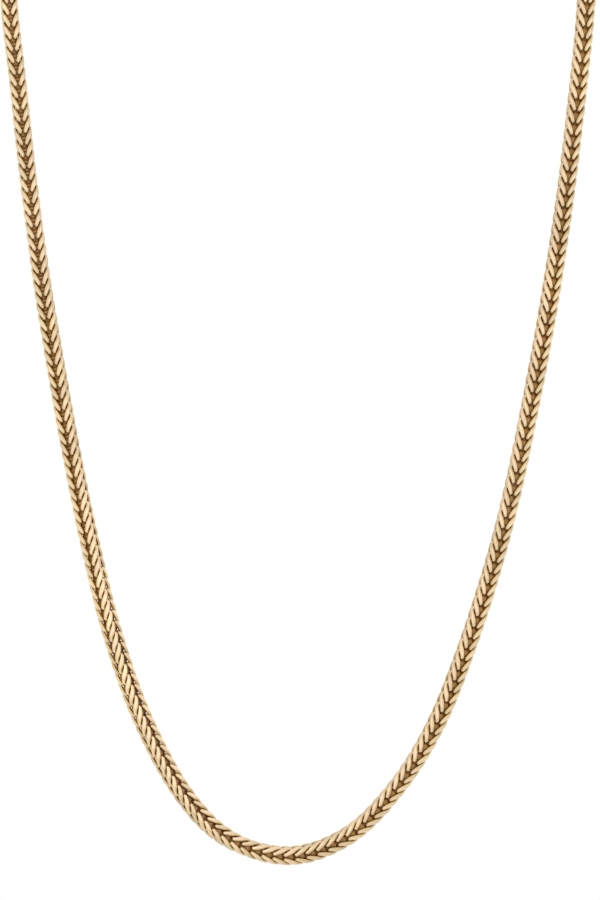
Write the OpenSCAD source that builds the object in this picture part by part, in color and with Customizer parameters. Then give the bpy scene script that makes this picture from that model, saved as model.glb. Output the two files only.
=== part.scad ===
/* [Chain] */
// Width of the chain across its flat faces
chain_w = 3; // [2:0.1:5]
// Air between the chain and what it enters
chain_gap = 0.15; // [0.1:0.05:0.4]

/* [End caps] */
// Length of the cup that holds the chain's end
cup_len = 4.5; // [3:0.1:8]
// Wall of the cup
cup_wall = 0.4; // [0.3:0.05:1]
// Thickness of the cup's closed end
cup_end = 0.7; // [0.5:0.1:2]
// Rounding of the cup's closed end
cup_round = 0.5; // [0.2:0.05:0.7]
// Wire of the soldered eyes
eye_wire = 0.8; // [0.6:0.05:1.4]
// How deep an eye's wire sinks into what it is soldered to
eye_sink = 0.35; // [0.2:0.05:0.5]

/* [Jump ring] */
// Wire of the jump ring
ring_wire = 0.7; // [0.5:0.05:1.2]

/* [Clasp] */
// Round bar of the clasp's wide ring
clasp_bar = 1.4; // [1:0.1:2]
// Radius of the opening in the wide ring
claw_hole_r = 1.4; // [1.3:0.1:3]
// Length of the stem between the wide ring and the eye
stem_len = 2.5; // [1:0.1:5]
// How much slimmer the stem is, all round, than the wires that it joins
stem_inset = 0.05; // [0.02:0.01:0.15]

/* [Clearances] */
// Air between two linked wires that pull on each other
link_gap = 0.1; // [0.1:0.05:0.2]
// Side play of a wire in the eye that it passes through
eye_play = 0.2; // [0.15:0.05:0.6]

/* [Hidden] */
$fn = 48;

// Eyes and rings, each as wide as what passes through it
eye_hole_r = max(clasp_bar, ring_wire) / 2 + eye_play;
eye_outer_r = eye_hole_r + eye_wire;
ring_hole_r = eye_wire + 2 * eye_play;
ring_outer_r = ring_hole_r + ring_wire;

// The cup round the chain's end
chain_sides = 8;
chain_corner_r = chain_w / 2 / cos(180 / chain_sides);
cup_bore_r = chain_corner_r + chain_gap;
cup_outer_r = cup_bore_r + cup_wall;
chain_in_cup = cup_len - cup_end - chain_gap;
cap_eye_z = cup_len + eye_outer_r - eye_sink;

// The clasp's stem runs from the middle of the eye's wire to the middle of the wide ring's bar
claw_r = claw_hole_r + clasp_bar / 2;
eye_r = eye_hole_r + eye_wire / 2;
eye_to_claw = eye_outer_r + stem_len + claw_hole_r + clasp_bar;

// The fastening lies on one line behind the neck, from the left cap to the right cap
eye_to_ring = eye_hole_r + ring_hole_r - link_gap;
claw_to_eye = claw_hole_r + eye_hole_r - link_gap;
fastening_len = 2 * cap_eye_z + 2 * eye_to_ring + eye_to_claw + claw_to_eye;
cap_left_x = -fastening_len / 2;
ring_x = cap_left_x + cap_eye_z + eye_to_ring;
clasp_eye_x = ring_x + eye_to_ring;
cap_right_x = fastening_len / 2;
chain_end_x = fastening_len / 2 - chain_in_cup;

// The skin of the neck touches y = 0, just clear of the jump ring
skin_gap = 0.1;
nape_y = ring_outer_r + skin_gap;

// The route of the chain's middle line, from the left cap down to the lowest point and up again.
// The front hangs in one upright plane.
front_y = -44;
route = [
    [-chain_end_x, nape_y, 0],
    [-18.5, 1.75, 0],
    [-29.5, -1, 0],
    [-40, -8.5, -1],
    [-47, -19.5, -3],
    [-50, -31, -8],
    [-50, -40.5, -17],
    [-49.25, front_y, -28],
    [-48, front_y, -39],
    [-46.25, front_y, -55.25],
    [-44, front_y, -72.5],
    [-41.75, front_y, -86.5],
    [-38.75, front_y, -103.25],
    [-35.5, front_y, -119],
    [-31.75, front_y, -134],
    [-26.5, front_y, -148.75],
    [-19.5, front_y, -161.5],
    [-11.75, front_y, -169],
    [-1.5, front_y, -171.75],
    [8.5, front_y, -168.25],
    [16.75, front_y, -160],
    [23.25, front_y, -149.5],
    [28.5, front_y, -136.5],
    [33.25, front_y, -121.75],
    [36.75, front_y, -108],
    [40, front_y, -92],
    [42.5, front_y, -78.25],
    [45, front_y, -62],
    [46.75, front_y, -48],
    [48.5, front_y, -31.75],
    [49.5, -42.25, -19],
    [50.5, -35, -9],
    [49, -23.5, -3.5],
    [43, -12, -1],
    [32.5, -3, 0],
    [20, 1.5, 0],
    [chain_end_x, nape_y, 0]
];

// Rings of the tube on each stretch between two route points
rings_a_span = 2;
last_point = len(route) - 1;
lowest_z = min([for (p = route) p.z]);
lowest_point = [for (i = [0:last_point]) if (route[i].z == lowest_z) i][0];
last_ring = last_point * rings_a_span;
lowest_ring = lowest_point * rings_a_span;

// A point between b and c on the smooth line through a, b, c and d
function between(a, b, c, d, t) =
    (2 * b + (c - a) * t + (2 * a - 5 * b + 4 * c - d) * t ^ 2 + (3 * b - a - 3 * c + d) * t ^ 3) / 2;

// The route goes straight on past both ends, along the line of the fastening
function route_point(i) =
    i < 0 ? route[0] + [norm(route[1] - route[0]), 0, 0]
    : i > last_point ? route[last_point] - [norm(route[last_point] - route[last_point - 1]), 0, 0]
    : route[i];

function line_point(ring) =
    let (i = min(floor(ring / rings_a_span), last_point - 1))
    between(route_point(i - 1), route_point(i), route_point(i + 1), route_point(i + 2),
        ring / rings_a_span - i);

function unit(v) = v / norm(v);

// Turns the vector v no further than it takes to stand square on the direction t
function squared(v, t) = unit(v - (v * t) * t);

line = [for (ring = [0:last_ring]) line_point(ring)];
// Both ends of the chain point along the fastening's line
ahead = [for (ring = [0:last_ring])
    ring == 0 || ring == last_ring ? [-1, 0, 0]
    : unit(line[ring + 1] - line[ring - 1])];
side = [for (ring = 0, v = [0, 0, 1];
    ring <= last_ring;
    ring = ring + 1, v = ring > last_ring ? v : squared(v, ahead[ring])) v];

// A tube with flat sides along the rings from first to last
module chain_tube(first, last) {
    corners = [for (ring = [first:last], k = [0:chain_sides - 1])
        let (turn = (k + 0.5) * 360 / chain_sides, up = side[ring], across = cross(ahead[ring], up))
        line[ring] + chain_corner_r * (cos(turn) * up + sin(turn) * across)];
    last_row = (last - first) * chain_sides;
    walls = [for (row = [0:chain_sides:last_row - chain_sides], k = [0:chain_sides - 1])
        let (a = row + k, b = row + (k + 1) % chain_sides)
        each [[a, b, b + chain_sides], [a, b + chain_sides, a + chain_sides]]];
    ends = [
        [for (k = [chain_sides - 1:-1:0]) k],
        [for (k = [0:chain_sides - 1]) last_row + k]
    ];
    polyhedron(corners, concat(walls, ends));
}

// A ring of round wire that lies flat on z = 0
module wire_ring(hole_r, wire) {
    rotate_extrude()
        translate([hole_r + wire / 2, 0])
            circle(d = wire);
}

// Half of the cup's section, with its closed end rounded
module cup_section() {
    square([cup_outer_r, cup_len - cup_round]);
    square([cup_outer_r - cup_round, cup_len]);
    translate([cup_outer_r - cup_round, cup_len - cup_round])
        circle(r = cup_round);
}

// The cup opens at z = 0 and carries its eye at the other end
module end_cap() {
    difference() {
        rotate_extrude()
            cup_section();
        translate([0, 0, -cup_len])
            cylinder(r = cup_bore_r, h = 2 * cup_len - cup_end);
    }
    translate([0, 0, cap_eye_z])
        rotate([90, 0, 0])
            wire_ring(eye_hole_r, eye_wire);
}

module chain_left() {
    color("#c9a06a")
        chain_tube(0, lowest_ring);
}

module chain_right() {
    color("#c9a06a")
        chain_tube(lowest_ring, last_ring);
}

module end_cap_left() {
    color("#d8b06e")
        translate([cap_left_x, nape_y, 0])
            rotate([0, 90, 0])
                end_cap();
}

module end_cap_right() {
    color("#d8b06e")
        translate([cap_right_x, nape_y, 0])
            rotate([0, -90, 0])
                rotate([0, 0, 90])
                    end_cap();
}

module jump_ring() {
    color("#e0bc7c")
        translate([ring_x, nape_y, 0])
            wire_ring(ring_hole_r, ring_wire);
}

// The clasp is one closed piece: a wide ring, a tapered stem and an eye
module clasp() {
    color("#d8b06e")
        translate([clasp_eye_x, nape_y, 0])
            rotate([90, 0, 0]) {
                wire_ring(eye_hole_r, eye_wire);
                translate([eye_to_claw, 0, 0])
                    wire_ring(claw_hole_r, clasp_bar);
                translate([eye_r, 0, 0])
                    rotate([0, 90, 0])
                        cylinder(
                            h = eye_to_claw - claw_r - eye_r,
                            r1 = eye_wire / 2 - stem_inset,
                            r2 = clasp_bar / 2 - stem_inset
                        );
            }
}

chain_left();
chain_right();
end_cap_left();
end_cap_right();
jump_ring();
clasp();
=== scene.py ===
import math
from collections import namedtuple

import bpy
import numpy as np
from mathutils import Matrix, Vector


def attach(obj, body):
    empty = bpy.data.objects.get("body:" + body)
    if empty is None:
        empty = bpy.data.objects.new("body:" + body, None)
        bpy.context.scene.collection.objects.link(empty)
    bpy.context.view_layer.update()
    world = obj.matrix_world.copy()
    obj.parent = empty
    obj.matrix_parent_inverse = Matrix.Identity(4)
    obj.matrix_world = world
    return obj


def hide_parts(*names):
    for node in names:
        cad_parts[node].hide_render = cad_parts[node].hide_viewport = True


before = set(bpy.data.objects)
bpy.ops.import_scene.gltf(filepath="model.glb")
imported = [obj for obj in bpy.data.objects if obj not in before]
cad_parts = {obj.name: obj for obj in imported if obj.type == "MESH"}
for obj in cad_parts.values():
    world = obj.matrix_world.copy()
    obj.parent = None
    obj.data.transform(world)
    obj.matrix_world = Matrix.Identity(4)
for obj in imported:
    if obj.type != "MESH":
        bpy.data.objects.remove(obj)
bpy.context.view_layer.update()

MM = 0.001

# The photograph in pixels, its scale, and where the chain stands in it
PHOTO_W_PX = 600
PHOTO_H_PX = 900
PX_PER_MM = 5.87
PHOTO_MIDDLE_X_PX = 299
PHOTO_TOP_Z = -26 * MM
CAMERA_DISTANCE = 0.6
SENSOR_H_MM = 36

# The route of the chain's middle line in millimetres, as in the part's source
FRONT_Y = -44
NAPE_Y = 2
CHAIN_END_X = 8.8
ROUTE = [
    (-CHAIN_END_X, NAPE_Y, 0),
    (-18.5, 1.75, 0),
    (-29.5, -1, 0),
    (-40, -8.5, -1),
    (-47, -19.5, -3),
    (-50, -31, -8),
    (-50, -40.5, -17),
    (-49.25, FRONT_Y, -28),
    (-48, FRONT_Y, -39),
    (-46.25, FRONT_Y, -55.25),
    (-44, FRONT_Y, -72.5),
    (-41.75, FRONT_Y, -86.5),
    (-38.75, FRONT_Y, -103.25),
    (-35.5, FRONT_Y, -119),
    (-31.75, FRONT_Y, -134),
    (-26.5, FRONT_Y, -148.75),
    (-19.5, FRONT_Y, -161.5),
    (-11.75, FRONT_Y, -169),
    (-1.5, FRONT_Y, -171.75),
    (8.5, FRONT_Y, -168.25),
    (16.75, FRONT_Y, -160),
    (23.25, FRONT_Y, -149.5),
    (28.5, FRONT_Y, -136.5),
    (33.25, FRONT_Y, -121.75),
    (36.75, FRONT_Y, -108),
    (40, FRONT_Y, -92),
    (42.5, FRONT_Y, -78.25),
    (45, FRONT_Y, -62),
    (46.75, FRONT_Y, -48),
    (48.5, FRONT_Y, -31.75),
    (49.5, -42.25, -19),
    (50.5, -35, -9),
    (49, -23.5, -3.5),
    (43, -12, -1),
    (32.5, -3, 0),
    (20, 1.5, 0),
    (CHAIN_END_X, NAPE_Y, 0),
]
LOWEST_POINT = min(range(len(ROUTE)), key=lambda i: ROUTE[i][2])
SAMPLES_A_SPAN = 24

# How far the chain is turned about its own line: millimetres from its left end, degrees.
# Measured on the photograph, where it shows the chain.
TWIST = [
    (0, 0),
    (85, -6),
    (100, -3),
    (124, -2),
    (135, 4),
    (150, 10),
    (160, 12),
    (170, 17),
    (180, 25),
    (188, 33),
    (198, 47),
    (205, 51),
    (214, 57),
    (226, 66),
    (232, 75),
    (240, 91),
    (247, 99),
    (257, 93),
    (269, 93),
    (284, 103),
    (294, 99),
    (302, 101),
    (314, 96),
    (330, 96),
    (345, 99),
    (356, 102),
    (364, 98),
    (375, 95),
    (384, 94),
    (400, 98),
    (491, 100),
]

# Room that each link takes on the chain's line, taut near the top and closer in the bend:
# millimetres from its left end, millimetres. Fitted to the places of the photograph's leaves.
PITCH = [
    (0, 2.008),
    (85, 2.008),
    (107, 2.017),
    (130, 1.977),
    (150, 1.952),
    (165, 1.926),
    (190, 1.89),
    (210, 1.893),
    (235, 1.881),
    (250, 1.886),
    (275, 1.947),
    (285, 1.935),
    (300, 1.938),
    (320, 1.96),
    (340, 1.992),
    (360, 1.997),
    (372, 2.046),
    (385, 2.065),
    (400, 2.048),
    (491, 1.96),
]
MEAN_PITCH = 1.95

# Painted sheen: the gold is made brighter along the chain, most where it turns a corner to the viewer
PAINTED_SHEEN = [
    (0, 1),
    (158, 1),
    (174, 1.13),
    (190, 1.2),
    (208, 1.15),
    (222, 1.06),
    (262, 1),
    (491, 1),
]

# From the end of the chain to the middle of its first link
END_ROOM = 2.023

# One link in millimetres: two wires cross below, two cross above at a right angle, and a leaf at
# each corner joins them. Found by trial, so that the leaves slope as in the photograph and the
# links clear each other, all but in the tightest bend.
WIRE_D = 0.66
CROSS_OFFSET = 0.39
CROSS_HEIGHT = 1.4
SHOULDER_REACH = 1.126
SHOULDER_OFFSET = 0.34
SHOULDER_DROP = 0.263
# From the middle of a leaf to its ends: distance from the chain's line, turn about it, and rise
LEAF_R = (1.45, 1.46, 1.318)
LEAF_TURN = (0, 14, 26)
LEAF_RISE = (0, 0.56, 1.2)
LEAF_MIDDLE_TURN = -45
# The leaves are widest on both sides of the chain's corners and taper towards their tips
LEAF_SWELL = 0.35
LEAF_SWELL_AT = 0.3
LEAF_SWELL_RISE = 0.5
# The chain is pressed smooth on its four faces, and its corners are rounded off
PRESS_START = 1.35
PRESS_LIMIT = 1.5
CORNER_START = 1.65
CORNER_LIMIT = 1.76
LINK_RINGS = 56
WIRE_SIDES = 12
CURVE_STEPS = 16

# Beads of dark pink and brown gold round each link's two crossings close the view through the chain's
# middle: painted shade, standing where the middle shows only shade
BEAD_R = 0.8
BEAD_TOP_R = 0.72
LOW_BEAD_R = 0.7
BEAD_EDGE = 0.08
BEAD_PLAY = 0.015
BEAD_SIDES = 12
BEAD_SQUARENESS = 16

# Open space is felt from just above the wire, past the wires of its own and the next links; where
# little is open, the gold gets painted shade
OPEN_RAYS = 96
OPEN_START = 0.03
OPEN_NEIGHBOURS = 3

# Wires nearer to the chain's middle than this get painted shade, in millimetres
INNER_SHADE_START = 1.2
INNER_SHADE_END = 0.7

# The flanks of a leaf get painted shade from this turn of its section on, in degrees
FLANK_START = 5
FLANK_END = 60
FLANK_MOST = 0.9

# The gold, its painted reflection tints on the necklace's inner and outer side, and its painted shade
CHAIN_GOLD = (0.95, 0.735, 0.53, 1)
CHAIN_ROUGHNESS = 0.26
FASTENING_GOLD = (0.87, 0.66, 0.42, 1)
FASTENING_ROUGHNESS = 0.24
INNER_REFLECTION_TINT = (1.0, 0.95, 0.97, 1)
OUTER_REFLECTION_TINT = (0.98, 1.0, 0.9, 1)
SHADE_OLIVE = (0.6, 0.46, 0.23, 1)
SHADE_BROWN = (0.56, 0.32, 0.07, 1)
BEAD_SHADE_PINK = (0.45, 0.25, 0.15, 1)
HOLLOW_START = 0.5
HOLLOW_END = 0.95

# How much the links differ from each other
SEED = 7
TONE_LOW = 0.88
TONE_HIGH = 1.06
TINT_PLAY = 0.35

# Fine wear: smears that change the roughness, and a grain
SMEAR_SCALE = 900
SMEAR_DETAIL = 4
SMEAR_BELOW = 0.06
SMEAR_ABOVE = 0.08
BEAD_ROUGHER = 0.35
GRAIN_SCALE = 5000
GRAIN_DETAIL = 3
GRAIN_STRENGTH = 0.12
GRAIN_DEPTH = 0.02 * MM

# Brightness of the surroundings, ahead and behind against the sides
FRONT_GLOW = 1.1
SIDE_GLOW = 0.9
GLOW_START = 0.1
GLOW_END = 0.8

# Two soft lights in front, in metres and watts: name, place, size, power
LIGHTS = [
    ("light_left", (-0.7, -0.9, 0.5), 0.6, 0.6),
    ("light_right", (0.8, -0.8, 0.1), 0.6, 0.3),
]

# A pale round floor under the hanging necklace, in metres
FLOOR_Z = -0.235
FLOOR_R = 0.3
FLOOR_SIDES = 64
FLOOR_PALE = (0.86, 0.85, 0.83, 1)
FLOOR_PALER = (0.9, 0.89, 0.87, 1)
FLOOR_ROUGHNESS = 0.8
FLOOR_GRAIN_SCALE = 40
FLOOR_GRAIN_DETAIL = 2

Chain = namedtuple("Chain", "places axes outer sheen left_count")
Shades = namedtuple("Shades", "tones tints")


def placed(name, data):
    """A new object in the scene."""
    obj = bpy.data.objects.new(name, data)
    bpy.context.collection.objects.link(obj)
    return obj


def camera():
    """The photograph's view: level, straight at the hanging front of the chain."""
    frame_h = PHOTO_H_PX / PX_PER_MM * MM
    data = bpy.data.cameras.new("camera")
    data.sensor_fit = "VERTICAL"
    data.sensor_height = SENSOR_H_MM
    data.lens = data.sensor_height * CAMERA_DISTANCE / frame_h
    obj = placed("camera", data)
    middle_x = (PHOTO_W_PX / 2 - PHOTO_MIDDLE_X_PX) / PX_PER_MM * MM
    obj.location = (middle_x, FRONT_Y * MM - CAMERA_DISTANCE, PHOTO_TOP_Z - frame_h / 2)
    obj.rotation_euler = (math.radians(90), 0, 0)
    bpy.context.scene.camera = obj


def unit(v):
    return v / np.linalg.norm(v, axis=-1, keepdims=True)


def distances(line):
    """How far along the line each of its points lies."""
    return np.r_[0, np.cumsum(np.linalg.norm(np.diff(line, axis=0), axis=1))]


def sampled(at, along, values):
    """Points or directions, known at the distances along, at the distances at."""
    return np.column_stack([np.interp(at, along, column) for column in values.T])


def interpolated(table, at):
    rows = np.array(table, float)
    return np.interp(at, rows[:, 0], rows[:, 1])


def smooth_line(points, steps):
    """A smooth line through the points, straight on past both ends, with steps samples a span."""
    p = np.array(points, float)
    first = p[0] + [np.linalg.norm(p[1] - p[0]), 0, 0]
    last = p[-1] - [np.linalg.norm(p[-1] - p[-2]), 0, 0]
    p = np.vstack([first, p, last])
    t = (np.arange(steps) / steps)[:, None]
    spans = [
        (2 * b + (c - a) * t + (2 * a - 5 * b + 4 * c - d) * t**2 + (3 * b - a - 3 * c + d) * t**3) / 2
        for a, b, c, d in zip(p, p[1:], p[2:], p[3:])
    ]
    return np.vstack(spans + [p[-2:-1]])


def carried(normal, directions):
    """Carries a normal along the directions without turning it about them."""
    out = []
    for d in directions:
        normal = unit(normal - normal.dot(d) * d)
        out.append(normal)
    return np.array(out)


def link_distances(length):
    """How far along the chain each link's middle lies."""
    at = [END_ROOM]
    while at[-1] + 2 * END_ROOM < length:
        at.append(at[-1] + interpolated(PITCH, at[-1]))
    return np.array(at)


def hanging_chain():
    """For every link its place, its three axes, the necklace's outer side and its painted sheen."""
    line = smooth_line(ROUTE, SAMPLES_A_SPAN)
    along = distances(line)
    directions = unit(np.gradient(line, axis=0))
    low = LOWEST_POINT * SAMPLES_A_SPAN
    front = np.array([0, -1, 0], float)
    left_normals = carried(front, directions[low::-1])[::-1]
    right_normals = carried(front, directions[low:])[1:]
    at = link_distances(along[-1])
    ahead = unit(sampled(at, along, directions))
    normals = sampled(at, along, np.vstack([left_normals, right_normals]))
    normals = unit(normals - (normals * ahead).sum(1, keepdims=True) * ahead)
    outer = np.cross(ahead, normals)
    turn = np.radians(interpolated(TWIST, at))[:, None]
    y_axis = normals * np.cos(turn) + outer * np.sin(turn)
    axes = np.stack([np.cross(y_axis, ahead), y_axis, ahead], axis=1)
    places = sampled(at, along, line)
    # The last beads need two more places, past the last link
    spare = places[-1] + ahead[-1] * MEAN_PITCH * np.array([[1], [2]])
    places = np.vstack([places, spare])
    axes = np.concatenate([axes, axes[-1:], axes[-1:]])
    return Chain(places, axes, outer, interpolated(PAINTED_SHEEN, at), int((at < along[low]).sum()))


def link_points():
    """Points that draw one link's wire towards them, as four like quarters."""
    quarter = [
        (0, -CROSS_OFFSET, -CROSS_HEIGHT),
        (SHOULDER_REACH, -SHOULDER_OFFSET, -CROSS_HEIGHT - SHOULDER_DROP),
    ]
    for step in (-2, -1, 0, 1, 2):
        sign = math.copysign(1, step)
        r, turn, rise = LEAF_R[abs(step)], LEAF_TURN[abs(step)], LEAF_RISE[abs(step)]
        angle = math.radians(LEAF_MIDDLE_TURN - sign * turn)
        quarter.append((r * math.cos(angle), r * math.sin(angle), sign * rise))
    quarter.append((SHOULDER_OFFSET, -SHOULDER_REACH, CROSS_HEIGHT + SHOULDER_DROP))
    points = []
    for _ in range(4):
        points += quarter
        quarter = [(-y, x, -z) for x, y, z in quarter]
    return np.array(points)


def link_line():
    """The middle line of one link's wire, a smooth closed curve with even steps."""
    p = link_points()
    t = (np.arange(CURVE_STEPS) / CURVE_STEPS)[:, None]
    weights = ((1 - t) ** 3, 3 * t**3 - 6 * t**2 + 4, -3 * t**3 + 3 * t**2 + 3 * t + 1, t**3)
    spans = [
        sum(w * q for w, q in zip(weights, np.roll(p, -k, axis=0)[:4])) / 6 for k in range(len(p))
    ]
    curve = np.vstack(spans)
    closed = np.vstack([curve, curve[:1]])
    along = distances(closed)
    return sampled(np.arange(LINK_RINGS) / LINK_RINGS * along[-1], along, closed)


def pressed(values, start, limit):
    """Values that near the limit softly instead of passing it."""
    over = np.abs(values) - start
    soft = start + (limit - start) * np.tanh(over / (limit - start))
    return np.where(over > 0, np.sign(values) * soft, values)


def ring_faces(rings, sides, closed=False):
    """Four-sided faces between each ring of corners and the next."""
    ring = np.arange(rings if closed else rings - 1)[:, None] * sides
    next_ring = (ring + sides) % (rings * sides)
    side = np.arange(sides)
    next_side = (side + 1) % sides
    quads = [ring + side, ring + next_side, next_ring + next_side, next_ring + side]
    return np.stack(quads, axis=-1).reshape(-1, 4)


def link_mesh(line):
    """One link round its own middle: corners, normals, and the painted shade of the flanks."""
    directions = unit(np.roll(line, -1, axis=0) - np.roll(line, 1, axis=0))
    outward = line * [1, 1, 0]
    outward = unit(outward - (outward * directions).sum(1, keepdims=True) * directions)
    sideways = np.cross(directions, outward)
    rise = (np.abs(line[:, 2]) - LEAF_SWELL_AT) / LEAF_SWELL_RISE
    swell = 1 + LEAF_SWELL * np.exp(-(rise**2))[:, None, None]
    turns = np.arange(WIRE_SIDES) * 2 * math.pi / WIRE_SIDES
    out_part = np.cos(turns)[None, :, None] * outward[:, None]
    side_part = np.sin(turns)[None, :, None] * sideways[:, None]
    corners = (line[:, None] + WIRE_D / 2 * (out_part + side_part * swell)).reshape(-1, 3)
    normals = unit(out_part + side_part / swell).reshape(-1, 3)
    corners[:, :2] = pressed(corners[:, :2], PRESS_START, PRESS_LIMIT)
    eighth = math.sqrt(0.5) * np.array([[1, 1], [-1, 1]])
    corners[:, :2] = pressed(corners[:, :2] @ eighth, CORNER_START, CORNER_LIMIT) @ eighth.T
    away = np.degrees(np.minimum(turns, 2 * math.pi - turns))
    flank = np.clip((away - FLANK_START) / (FLANK_END - FLANK_START), 0, 1)
    return corners, normals, np.tile(flank, LINK_RINGS)


def openness(corners, normals, line):
    """How much open space each corner sees between the wires of its own and the next links."""
    k = np.arange(OPEN_RAYS) + 0.5
    rise = 1 - 2 * k / OPEN_RAYS
    turn = k * math.pi * (3 - math.sqrt(5))
    flat = np.sqrt(1 - rise**2)
    rays = np.column_stack([flat * np.cos(turn), flat * np.sin(turn), rise])
    steps = range(-OPEN_NEIGHBOURS, OPEN_NEIGHBOURS + 1)
    spheres = np.vstack([line + [0, 0, step * MEAN_PITCH] for step in steps])
    to = spheres[None] - (corners + normals * OPEN_START)[:, None]
    seen = np.zeros(len(corners))
    total = np.zeros(len(corners))
    for ray in rays:
        weight = np.clip(normals @ ray, 0, None)
        reach = to @ ray
        off = (to**2).sum(-1) - reach**2
        hit = ((off < (WIRE_D / 2) ** 2) & (reach > 0)).any(1)
        seen += np.where(hit, 0, weight)
        total += weight
    return seen / total


def hollowness(corners, normals, line):
    """How deep each corner lies in a hollow, and all of it near the chain's middle: the mask of the
    painted shade.
    """
    across = np.abs(corners[:, :2]).max(1)
    inner_shade = np.clip((INNER_SHADE_START - across) / (INNER_SHADE_START - INNER_SHADE_END), 0, 1)
    return np.maximum(1 - openness(corners, normals, line), inner_shade)


def bead_rings(line):
    """The rings of both beads: from which link onwards each is measured, its radius and height.

    The high bead is fitted between the low crossings of the next two links.
    """
    low_crossing = line[(np.abs(line[:, :2]).max(1) < BEAD_TOP_R) & (line[:, 2] < 0), 2]
    top = low_crossing.max() + WIRE_D / 2
    bottom = low_crossing.min() - WIRE_D / 2
    start = top + BEAD_PLAY
    end = bottom - BEAD_PLAY
    high_bead = [
        (1, BEAD_R - BEAD_EDGE, start),
        (1, BEAD_R, start + BEAD_EDGE),
        (0, BEAD_R, CROSS_HEIGHT),
        (2, BEAD_TOP_R, end - BEAD_EDGE),
        (2, BEAD_TOP_R - BEAD_EDGE, end),
    ]
    low_bead = [(0, LOW_BEAD_R, bottom), (0, LOW_BEAD_R, top)]
    return high_bead, low_bead


def bead_corners(rings, places, axes):
    """The corners of a bead's rings, which are square with rounded corners."""
    turns = (np.arange(BEAD_SIDES) + 0.5) * 2 * math.pi / BEAD_SIDES
    x, y = np.cos(turns), np.sin(turns)
    swell = (np.abs(x) ** BEAD_SQUARENESS + np.abs(y) ** BEAD_SQUARENESS) ** (-1 / BEAD_SQUARENESS)
    corners = []
    for k, r, z in rings:
        flat = np.column_stack([r * swell * x, r * swell * y, np.full(BEAD_SIDES, z)])
        corners.append(places[k] + flat @ axes[k])
    return np.vstack(corners)


def bead_faces(rings):
    """The faces round a bead and one on each end, as lists."""
    side = np.arange(BEAD_SIDES)
    ends = [side[::-1].tolist(), (side + (len(rings) - 1) * BEAD_SIDES).tolist()]
    return ring_faces(len(rings), BEAD_SIDES).tolist() + ends


def put_attribute(mesh, name, values):
    layer = mesh.attributes.new(name, "FLOAT", "POINT")
    layer.data.foreach_set("value", np.asarray(values, np.float32).ravel())


def chain_piece(name, part, chain, shades, material):
    """One mesh of some of the links and their beads, each turned to its place on the chain."""
    line = link_line()
    link_corners, link_normals, link_flank = link_mesh(line)
    link_hollow = hollowness(link_corners, link_normals, line)
    beads = bead_rings(line)
    shapes = [(len(link_corners), ring_faces(LINK_RINGS, WIRE_SIDES, closed=True).tolist())]
    shapes += [(len(rings) * BEAD_SIDES, bead_faces(rings)) for rings in beads]

    verts, faces, sides = [], [], []
    first = 0
    for i in part:
        link = chain.places[i] + link_corners @ chain.axes[i]
        near = slice(i, i + 3)
        bead = np.vstack([bead_corners(rings, chain.places[near], chain.axes[near]) for rings in beads])
        verts += [link, bead]
        sides += [
            link_normals @ chain.axes[i] @ chain.outer[i],
            (bead - chain.places[i]) @ chain.outer[i] / BEAD_R,
        ]
        for n_corners, shape_faces in shapes:
            faces += [[first + corner for corner in face] for face in shape_faces]
            first += n_corners

    mesh = bpy.data.meshes.new(name)
    mesh.from_pydata((np.vstack(verts) * MM).tolist(), [], faces)
    mesh.shade_smooth()
    on_link, on_bead = np.zeros(len(link)), np.zeros(len(bead))
    count = len(part)
    put_attribute(mesh, "side", np.concatenate(sides))
    put_attribute(mesh, "hollow", np.tile(np.r_[link_hollow, on_bead], count))
    put_attribute(mesh, "flank", np.tile(np.r_[link_flank, on_bead], count))
    put_attribute(mesh, "bead", np.tile(np.r_[on_link, on_bead + 1], count))
    put_attribute(mesh, "tone", np.repeat(shades.tones[part], len(link) + len(bead)))
    put_attribute(mesh, "tint", np.repeat(shades.tints[part], len(link) + len(bead)))
    mesh.materials.append(material)
    return placed(name, mesh)


def link_shades(chain):
    """How each link's brightness and tint differ at random from those of its neighbours; the brightness
    also carries the painted sheen.
    """
    rng = np.random.default_rng(SEED)
    count = len(chain.outer)
    # Random brightness of each link times the painted sheen along the chain
    tones = rng.uniform(TONE_LOW, TONE_HIGH, count) * chain.sheen - 1
    tints = rng.uniform(-1, 1, count)
    return Shades(tones, tints)


def node(tree, kind, **values):
    made = tree.nodes.new(kind)
    for key, value in values.items():
        if hasattr(made, key):
            setattr(made, key, value)
        else:
            made.inputs[key].default_value = value
    return made


def mixed(tree, factor, a, b, blend="MIX"):
    """A colour between two colours or sockets."""
    mix = node(tree, "ShaderNodeMix", data_type="RGBA", blend_type=blend)
    for name, value in (("Factor", factor), ("A", a), ("B", b)):
        socket = [i for i in mix.inputs if i.name == name and i.enabled][0]
        if isinstance(value, bpy.types.NodeSocket):
            tree.links.new(value, socket)
        else:
            socket.default_value = value
    return [o for o in mix.outputs if o.enabled][0]


def ranged(tree, value, low, high, to_low, to_high, smooth=False):
    """A value carried from one range to another and held inside it."""
    made = node(tree, "ShaderNodeMapRange", interpolation_type="SMOOTHSTEP" if smooth else "LINEAR")
    tree.links.new(value, made.inputs["Value"])
    made.inputs["From Min"].default_value = low
    made.inputs["From Max"].default_value = high
    made.inputs["To Min"].default_value = to_low
    made.inputs["To Max"].default_value = to_high
    return made.outputs["Result"]


def added(tree, a, b, clamped=False):
    total = node(tree, "ShaderNodeMath", operation="ADD", use_clamp=clamped)
    tree.links.new(a, total.inputs[0])
    tree.links.new(b, total.inputs[1])
    return total.outputs[0]


def attribute(tree, name):
    return node(tree, "ShaderNodeAttribute", attribute_name=name).outputs["Fac"]


def noise(tree, scale, detail):
    """Noise that is fixed to the object."""
    made = node(tree, "ShaderNodeTexNoise", Scale=scale, Detail=detail)
    place = node(tree, "ShaderNodeTexCoord").outputs["Object"]
    tree.links.new(place, made.inputs["Vector"])
    return made.outputs["Fac"]


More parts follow.
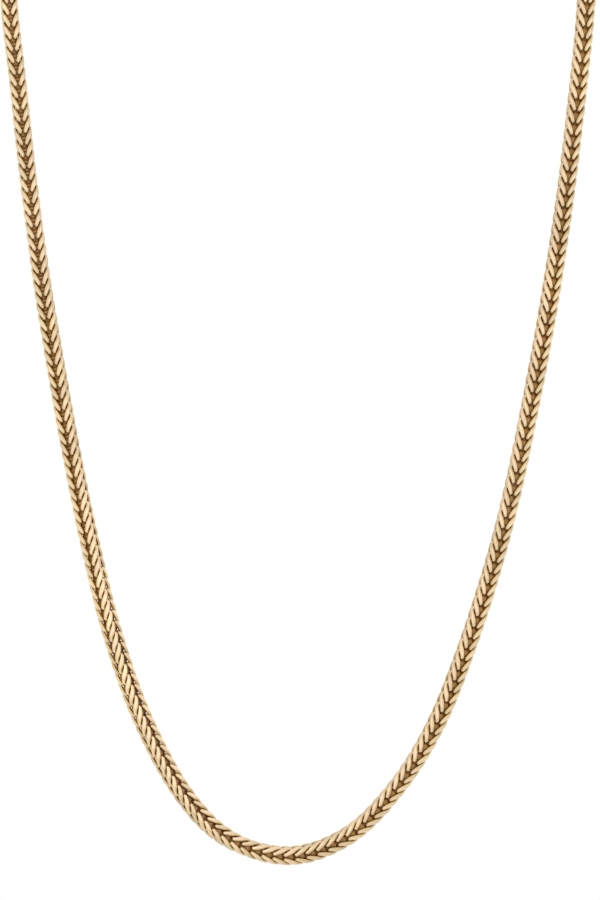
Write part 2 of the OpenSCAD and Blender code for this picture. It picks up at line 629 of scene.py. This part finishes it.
def gold_colour(tree, bright):
    """Bright gold with painted reflection tints by side, painted shade on the flanks, where the hollow
    attribute says so and on the beads, and painted sheen with random brightness.
    """
    # Painted reflection: pinkish on the necklace's inner side, yellowish on its outer side, shifted by
    # each link's random tint
    side = ranged(tree, attribute(tree, "side"), -1, 1, 0, 1)
    tint = ranged(tree, attribute(tree, "tint"), -1, 1, -TINT_PLAY, TINT_PLAY)
    hue = mixed(tree, added(tree, side, tint, clamped=True), INNER_REFLECTION_TINT, OUTER_REFLECTION_TINT)
    skin = mixed(tree, 1.0, bright, hue, "MULTIPLY")
    # Painted shade: the flanks of each leaf turn olive towards the sides of the wire
    flank = ranged(tree, attribute(tree, "flank"), 0, 1, 0, FLANK_MOST)
    colour = mixed(tree, flank, skin, SHADE_OLIVE)
    # Painted shade: brown deep in the hollows and near the chain's middle
    depth = ranged(tree, attribute(tree, "hollow"), HOLLOW_START, HOLLOW_END, 0, 1, smooth=True)
    colour = mixed(tree, depth, colour, SHADE_BROWN)
    # Painted shade on the beads: pink on the inner side, brown on the outer
    bead_colour = mixed(tree, side, BEAD_SHADE_PINK, SHADE_BROWN)
    colour = mixed(tree, attribute(tree, "bead"), colour, bead_colour)
    toned = node(tree, "ShaderNodeHueSaturation")
    tree.links.new(colour, toned.inputs["Color"])
    # Brightness: each link's random share times the painted sheen along the chain
    brightness = ranged(tree, attribute(tree, "tone"), -1, 1, 0, 2)
    tree.links.new(brightness, toned.inputs["Value"])
    return toned.outputs["Color"]


def gold_roughness(tree, roughness):
    """Smeared here and there, and rougher on the beads."""
    smears = noise(tree, SMEAR_SCALE, SMEAR_DETAIL)
    rough = ranged(tree, smears, 0, 1, roughness - SMEAR_BELOW, roughness + SMEAR_ABOVE)
    bead = ranged(tree, attribute(tree, "bead"), 0, 1, 0, BEAD_ROUGHER)
    return added(tree, rough, bead)


def grain(tree):
    """The normal of a surface with a very fine grain."""
    bump = node(tree, "ShaderNodeBump", Strength=GRAIN_STRENGTH, Distance=GRAIN_DEPTH)
    tree.links.new(noise(tree, GRAIN_SCALE, GRAIN_DETAIL), bump.inputs["Height"])
    return bump.outputs["Normal"]


def new_material(name):
    """A material, and its node tree and shader."""
    material = bpy.data.materials.new(name)
    material.use_nodes = True
    tree = material.node_tree
    return material, tree, tree.nodes["Principled BSDF"]


def gold(name, bright, roughness):
    """Worn polished gold; its colour carries painted shade, painted reflection tints and a painted
    sheen where the mesh has the attributes for them.
    """
    material, tree, shader = new_material(name)
    shader.inputs["Metallic"].default_value = 1
    tree.links.new(gold_colour(tree, bright), shader.inputs["Base Color"])
    tree.links.new(gold_roughness(tree, roughness), shader.inputs["Roughness"])
    tree.links.new(grain(tree), shader.inputs["Normal"])
    return material


def studio():
    """A white backdrop, soft light from the front and back, and dimmer sides."""
    world = bpy.data.worlds.new("studio")
    bpy.context.scene.world = world
    world.use_nodes = True
    tree = world.node_tree
    link = tree.links.new
    background = tree.nodes["Background"]
    place = node(tree, "ShaderNodeTexCoord")
    split = node(tree, "ShaderNodeSeparateXYZ")
    link(place.outputs["Generated"], split.inputs[0])
    facing = node(tree, "ShaderNodeMath", operation="ABSOLUTE")
    link(split.outputs["Y"], facing.inputs[0])
    glow = ranged(tree, facing.outputs[0], GLOW_START, GLOW_END, SIDE_GLOW, FRONT_GLOW, smooth=True)
    path = node(tree, "ShaderNodeLightPath")
    seen = node(tree, "ShaderNodeMix", data_type="FLOAT")
    link(path.outputs["Is Camera Ray"], seen.inputs["Factor"])
    link(glow, seen.inputs["A"])
    seen.inputs["B"].default_value = 1
    background.inputs["Color"].default_value = (1, 1, 1, 1)
    link(seen.outputs["Result"], background.inputs["Strength"])
    bpy.context.scene.view_settings.view_transform = "Standard"


def soft_lights():
    """Square soft lights in front of the chain, all turned to its middle."""
    middle = Vector((0, FRONT_Y * MM, PHOTO_TOP_Z - PHOTO_H_PX / PX_PER_MM * MM / 2))
    for name, place, size, power in LIGHTS:
        data = bpy.data.lights.new(name, "AREA")
        data.size = size
        data.energy = power
        obj = placed(name, data)
        obj.location = place
        obj.rotation_euler = (middle - obj.location).to_track_quat("-Z", "Y").to_euler()


def floor():
    """A plain pale disc with a faint grain."""
    material, tree, shader = new_material("floor_paint")
    shader.inputs["Roughness"].default_value = FLOOR_ROUGHNESS
    mottle = noise(tree, FLOOR_GRAIN_SCALE, FLOOR_GRAIN_DETAIL)
    tree.links.new(mixed(tree, mottle, FLOOR_PALE, FLOOR_PALER), shader.inputs["Base Color"])
    turns = np.arange(FLOOR_SIDES) * 2 * math.pi / FLOOR_SIDES
    rim = [(FLOOR_R * math.cos(a), FLOOR_R * math.sin(a), FLOOR_Z) for a in turns]
    mesh = bpy.data.meshes.new("floor")
    mesh.from_pydata(rim, [], [range(FLOOR_SIDES)])
    mesh.materials.append(material)
    placed("floor", mesh)


camera()
chain_gold = gold("chain_gold", CHAIN_GOLD, CHAIN_ROUGHNESS)
fastening_gold = gold("fastening_gold", FASTENING_GOLD, FASTENING_ROUGHNESS)

chain = hanging_chain()
shades = link_shades(chain)
halves = {
    "chain_left": range(chain.left_count),
    "chain_right": range(chain.left_count, len(chain.outer)),
}
for node_name, part in halves.items():
    piece_name = "wheat_links" + node_name.removeprefix("chain")
    piece = chain_piece(piece_name, part, chain, shades, chain_gold)
    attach(piece, "root")
    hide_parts(node_name)

for node_name in ("end_cap_left", "end_cap_right", "jump_ring", "clasp"):
    cad_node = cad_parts[node_name]
    cad_node.data.materials.clear()
    cad_node.data.materials.append(fastening_gold)

studio()
soft_lights()
floor()
